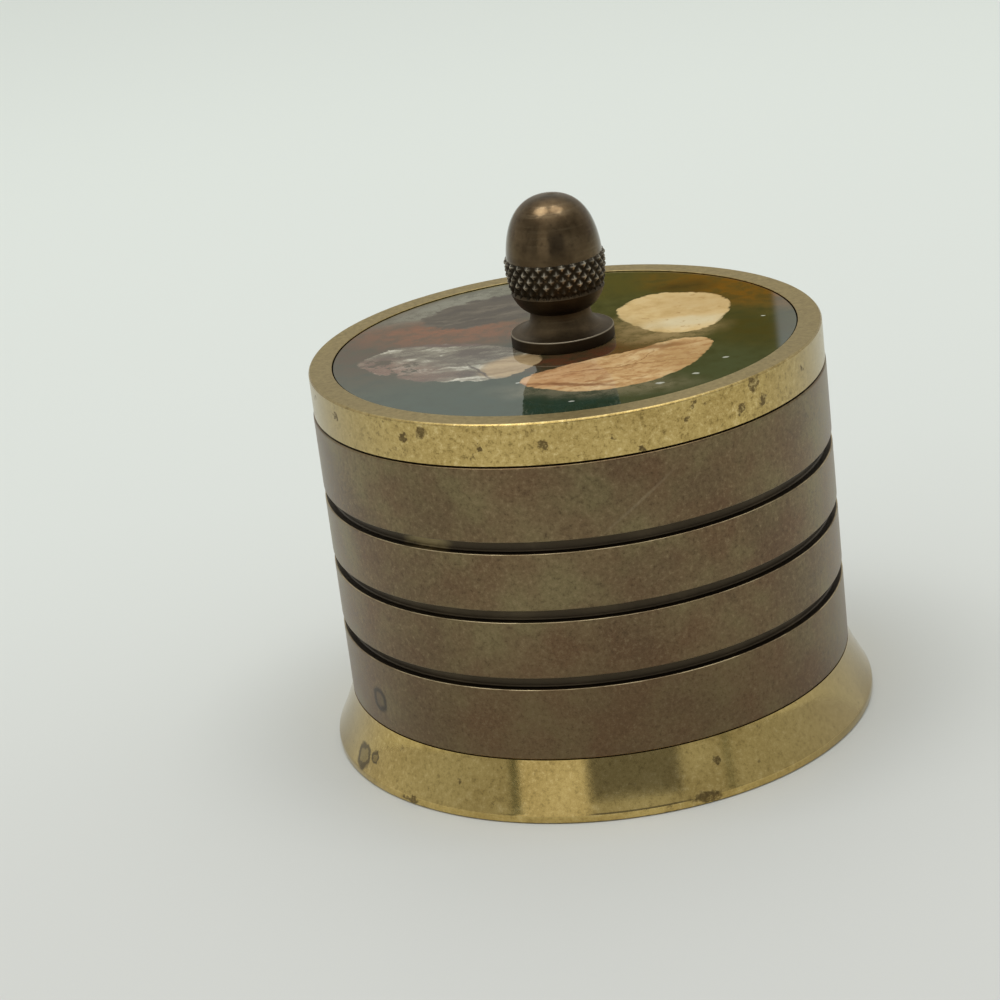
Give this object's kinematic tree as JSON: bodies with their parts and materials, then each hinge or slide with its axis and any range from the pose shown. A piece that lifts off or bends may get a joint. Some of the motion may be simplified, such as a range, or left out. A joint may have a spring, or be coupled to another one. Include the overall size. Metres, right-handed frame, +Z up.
{
  "type": "trinket box",
  "caption": "Round turned-brass trinket box with a grooved patinated side, flared foot and lift-off lid inlaid with stone in resin under an acorn knob.",
  "frame": {"origin": "middle of the foot's underside, on the surface that the box stands on", "axes": "+Z up along the turning axis of the tube, lid and knob; -Y is the front that the picture is taken from"},
  "size_m": [0.0636, 0.0636, 0.0623],
  "materials": {
    "bright_brass": "satin",
    "plain_brass": "satin",
    "aged_brass": "satin",
    "knob_brass": "satin",
    "green_resin": "polished",
    "cream_stone": "polished",
    "peach_stone": "polished",
    "grey_stone": "polished",
    "agate_stone": "polished"
  },
  "bodies": {
    "box": {"foot_ring": "bright_brass", "floor_plate": "plain_brass", "body_tube": "aged_brass"},
    "knob": {"acorn_knob": "knob_brass", "knob_screw": "plain_brass", "knob_washer": "plain_brass"},
    "lid": {"lid_rim": "bright_brass", "lid_spigot": "plain_brass", "lid_plate": "plain_brass", "inlay_resin": "green_resin", "stone_cream": "cream_stone", "stone_peach": "peach_stone", "stone_grey": "grey_stone", "stone_agate": "agate_stone"}
  },
  "joints": [
    {"name": "lid_lift", "type": "slide", "parent": "box", "child": "knob", "axis": [0, 0, 1], "range_m": [0, 0.045]},
    {"name": "lid_turn", "type": "hinge", "parent": "knob", "child": "lid", "pos_m": [0, 0, 0.0428], "axis": [0, 0, 1], "continuous": true}
  ]
}
